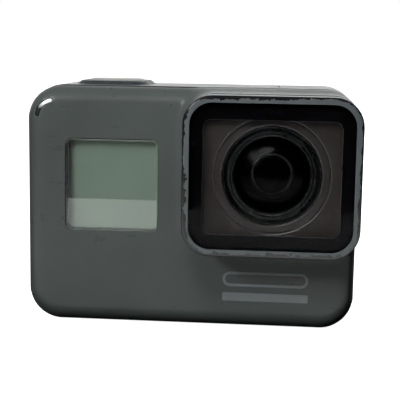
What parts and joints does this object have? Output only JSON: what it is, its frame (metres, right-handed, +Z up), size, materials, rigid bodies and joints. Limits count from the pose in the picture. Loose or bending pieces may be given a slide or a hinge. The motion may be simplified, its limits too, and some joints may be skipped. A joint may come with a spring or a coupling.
{
  "type": "action camera",
  "caption": "Compact rounded action camera with a square twist-off lens cover, small front screen, rear display, and hinged battery and port doors.",
  "frame": {"origin": "middle of the base, at the centre of the overall box", "axes": "+X to the right when facing the lens, -Y the way the lens looks, +Z up"},
  "size_m": [0.062, 0.0326, 0.0459],
  "materials": {
    "shell": "soft-touch matte slate",
    "seal": "matte black",
    "badge": "satin light slate",
    "status_light": "glossy diffuser",
    "window_glass": "clear with a faint tint",
    "status_screen": "unlit reflective display",
    "circuit_board": "solder mask",
    "lens_surround": "matte dark brown",
    "lens_barrel": "satin black",
    "retaining_ring": "satin dark grey",
    "lens_glass": "coated optical glass",
    "black_plastic": "matte",
    "image_sensor": "glossy",
    "steel": "stamped",
    "copper": "rolled copper",
    "contacts": "gold plated",
    "chassis": "moulded",
    "battery": "shrink-wrapped",
    "pull_tab": "film",
    "display_glass": "black printed glass",
    "display_panel": "unlit display",
    "flex": "polyimide film",
    "shutter_button": "satin light grey",
    "button": "satin slate",
    "door_seal": "red silicone",
    "cover_frame": "painted slate with worn edges",
    "cover_glass": "clear hard glass",
    "cover_print": "black print behind glass"
  },
  "bodies": {
    "camera_body": {"front_housing": "shell", "rear_housing": "shell", "housing_seal": "seal", "badge_inlay": "badge", "front_status_light": "status_light", "rear_status_light": "status_light", "status_window": "window_glass", "status_window_gasket": "seal", "status_screen": "status_screen", "status_screen_board": "circuit_board", "lens_collar": "lens_surround", "lens_barrel": "lens_barrel", "lens_retaining_ring": "retaining_ring", "front_lens_element": "lens_glass", "inner_lens_element": "lens_glass", "lens_aperture_ring": "black_plastic", "lens_mount": "chassis", "image_sensor": "image_sensor", "sensor_board": "circuit_board", "main_board": "circuit_board", "processor_shield": "steel", "heat_spreader": "copper", "inner_chassis": "chassis", "battery": "battery", "battery_pull_tab": "pull_tab", "battery_contacts": "contacts", "memory_card_slot": "steel", "memory_card": "black_plastic", "usb_port": "steel", "hdmi_port": "steel", "port_panel": "black_plastic", "display_glass": "display_glass", "display_gasket": "seal", "display_panel": "display_panel", "display_cable": "flex", "shutter_bezel": "button", "shutter_switch": "steel", "mode_switch": "steel", "microphones": "contacts", "speaker": "black_plastic", "speaker_grille": "black_plastic", "antenna_strip": "contacts", "board_screws": "steel", "battery_door_hinge_pin": "steel", "port_door_hinge_pin": "steel"},
    "shutter_button": {"shutter_button": "shutter_button"},
    "mode_button": {"mode_button": "button"},
    "battery_door": {"battery_door": "shell", "battery_door_seal": "door_seal"},
    "battery_latch": {"battery_door_latch": "button"},
    "port_door": {"port_door": "shell", "port_door_seal": "door_seal"},
    "port_latch": {"port_door_latch": "button"},
    "cover_turn": {"lens_cover_seal": "seal"},
    "lens_cover": {"lens_cover_frame": "cover_frame", "lens_cover_glass": "cover_glass", "lens_cover_mask": "cover_print", "lens_cover_plate": "lens_surround"}
  },
  "joints": [
    {"name": "shutter_press", "type": "slide", "parent": "camera_body", "child": "shutter_button", "axis": [0, 0, -1], "range_m": [0, 0.0005], "stiffness_N_per_m": 1000},
    {"name": "mode_press", "type": "slide", "parent": "camera_body", "child": "mode_button", "axis": [1, 0, 0], "range_m": [0, 0.00035], "stiffness_N_per_m": 1000},
    {"name": "battery_door_swing", "type": "hinge", "parent": "camera_body", "child": "battery_door", "pos_m": [0.0054, 0.0074, 0.0009], "axis": [0, -1, 0], "range_deg": [0, 95]},
    {"name": "battery_latch_slide", "type": "slide", "parent": "battery_door", "child": "battery_latch", "axis": [1, 0, 0], "range_m": [0, 0.0014]},
    {"name": "port_door_swing", "type": "hinge", "parent": "camera_body", "child": "port_door", "pos_m": [0.0301, 0.013, 0.019], "axis": [0, 0, 1], "range_deg": [0, 95]},
    {"name": "port_latch_slide", "type": "slide", "parent": "port_door", "child": "port_latch", "axis": [0, 0, 1], "range_m": [0, 0.0012]},
    {"name": "lens_cover_twist", "type": "hinge", "parent": "camera_body", "child": "cover_turn", "pos_m": [0.01515, -0.0145, 0.0298], "axis": [0, -1, 0], "range_deg": [0, 30]},
    {"name": "lens_cover_pull", "type": "slide", "parent": "cover_turn", "child": "lens_cover", "axis": [0, -1, 0], "range_m": [0, 0.012]}
  ]
}
